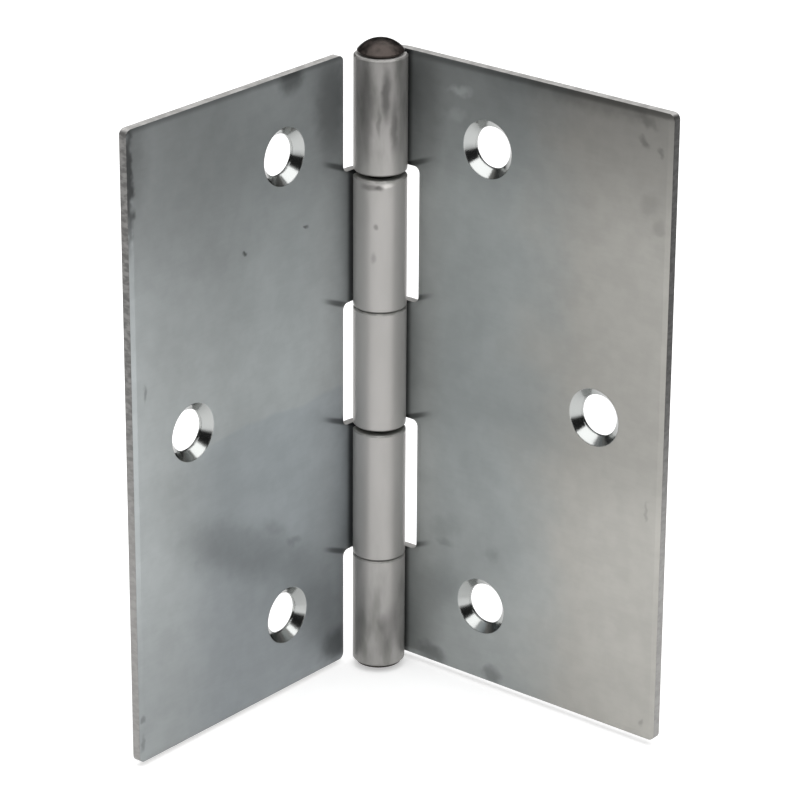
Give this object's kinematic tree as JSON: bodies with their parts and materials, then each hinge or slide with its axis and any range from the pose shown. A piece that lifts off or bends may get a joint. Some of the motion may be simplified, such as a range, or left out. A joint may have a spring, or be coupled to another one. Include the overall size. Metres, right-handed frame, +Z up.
{
  "type": "butt hinge",
  "caption": "Square rolled-steel butt hinge with countersunk leaves on a riveted pin, opened to a right angle",
  "frame": {"origin": "middle of the back face of the three-knuckle leaf, where it lies on what it is screwed to", "axes": "+Z up along the pin, +X along the three-knuckle leaf away from the pin, +Y out of that leaf's back face, into the wood it is screwed to"},
  "size_m": [0.0453, 0.0454, 0.0829],
  "materials": {
    "zinc_plated_sheet": "semi-gloss zinc plating with a mottled grey patina",
    "pin_steel": "dark bare steel with a hammered rivet head"
  },
  "bodies": {
    "fixed_leaf": {"three_knuckle_leaf": "zinc_plated_sheet", "hinge_pin": "pin_steel"},
    "swing_leaf": {"two_knuckle_leaf": "zinc_plated_sheet"}
  },
  "joints": [
    {"name": "leaf_swing", "type": "hinge", "parent": "fixed_leaf", "child": "swing_leaf", "pos_m": [-0.02035, -0.00469, 0], "axis": [0, 0, -1], "range_deg": [-98, 112]}
  ]
}
